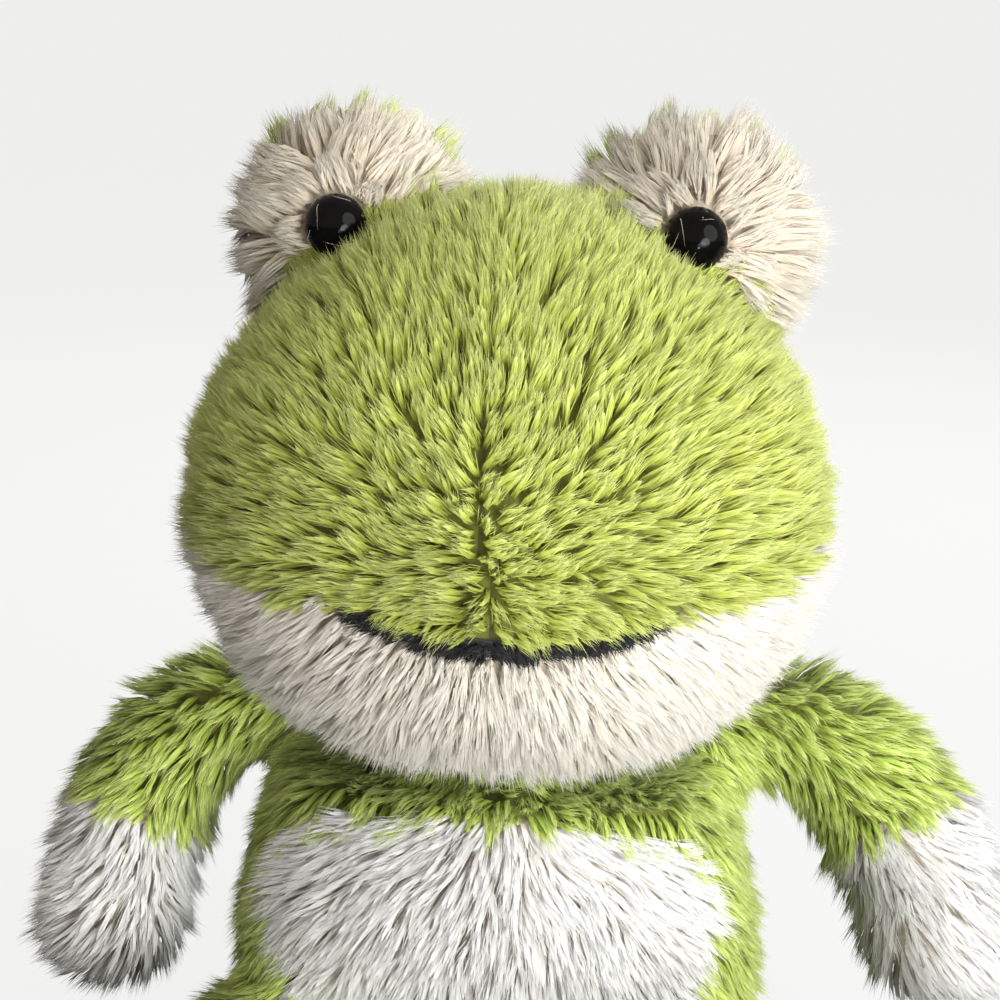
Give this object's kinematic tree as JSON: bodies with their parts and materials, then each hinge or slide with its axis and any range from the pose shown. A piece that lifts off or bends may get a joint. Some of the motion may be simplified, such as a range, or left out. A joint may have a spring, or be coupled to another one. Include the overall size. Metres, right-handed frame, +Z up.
{
  "type": "plush frog",
  "caption": "Sitting plush frog with a wide muzzle, raised eye mounds, a pale tummy, and a head and limbs that turn on stuffed joints.",
  "frame": {"origin": "on the floor under the torso, on the flat of the base panel", "axes": "+Z up, -Y the way the frog looks, +X towards the frog's own left"},
  "size_m": [0.2635, 0.2103, 0.264],
  "materials": {
    "green_plush": "long soft pile, yellow-green with pale tips",
    "white_plush": "long soft pile, warm white",
    "mouth_felt": "black brushed felt",
    "stuffing": "loose polyester fibre",
    "bead_pouch": "plain woven cotton pouch with a granular fill",
    "eye_plastic": "polished black",
    "washer_plastic": "translucent natural"
  },
  "bodies": {
    "torso": {"torso_side_left": "green_plush", "torso_side_right": "green_plush", "base_panel": "green_plush", "tummy": "white_plush", "torso_stuffing": "stuffing", "seat_pouch": "bead_pouch"},
    "neck": {"neck_stuffing": "stuffing"},
    "head": {"muzzle_left": "green_plush", "muzzle_right": "green_plush", "head_back_left": "green_plush", "head_back_right": "green_plush", "jaw": "white_plush", "mouth_lining": "mouth_felt", "head_stuffing": "stuffing", "mound_front_left": "white_plush", "mound_back_left": "green_plush", "mound_stuffing_left": "stuffing", "eye_left": "eye_plastic", "eye_washer_left": "washer_plastic", "mound_front_right": "white_plush", "mound_back_right": "green_plush", "mound_stuffing_right": "stuffing", "eye_right": "eye_plastic", "eye_washer_right": "washer_plastic"},
    "arm_left": {"arm_sleeve_left": "green_plush", "hand_left": "white_plush", "arm_stuffing_left": "stuffing"},
    "leg_left": {"leg_sleeve_left": "green_plush", "leg_stuffing_left": "stuffing", "foot_left": "white_plush", "foot_stuffing_left": "stuffing"},
    "arm_right": {"arm_sleeve_right": "green_plush", "hand_right": "white_plush", "arm_stuffing_right": "stuffing"},
    "leg_right": {"leg_sleeve_right": "green_plush", "leg_stuffing_right": "stuffing", "foot_right": "white_plush", "foot_stuffing_right": "stuffing"}
  },
  "joints": [
    {"name": "neck_turn", "type": "hinge", "parent": "torso", "child": "neck", "pos_m": [0, 0.002, 0.11197], "axis": [0, 0, 1], "range_deg": [-18, 18], "stiffness_Nm_per_rad": 0.8},
    {"name": "head_nod", "type": "hinge", "parent": "neck", "child": "head", "pos_m": [0, 0.002, 0.11197], "axis": [1, 0, 0], "range_deg": [-12, 8], "stiffness_Nm_per_rad": 1.5},
    {"name": "shoulder_left", "type": "hinge", "parent": "torso", "child": "arm_left", "pos_m": [0.05637, 0.018, 0.10292], "axis": [-1, 0, 0], "range_deg": [-40, 80], "stiffness_Nm_per_rad": 0.12},
    {"name": "shoulder_right", "type": "hinge", "parent": "torso", "child": "arm_right", "pos_m": [-0.05637, 0.018, 0.10292], "axis": [-1, 0, 0], "range_deg": [-40, 80], "stiffness_Nm_per_rad": 0.12},
    {"name": "hip_left", "type": "hinge", "parent": "torso", "child": "leg_left", "pos_m": [0.05453, -0.03452, 0.0265], "axis": [-1, 0, 0], "range_deg": [-70, 20], "stiffness_Nm_per_rad": 0.15},
    {"name": "hip_right", "type": "hinge", "parent": "torso", "child": "leg_right", "pos_m": [-0.05453, -0.03452, 0.0265], "axis": [-1, 0, 0], "range_deg": [-70, 20], "stiffness_Nm_per_rad": 0.15}
  ]
}
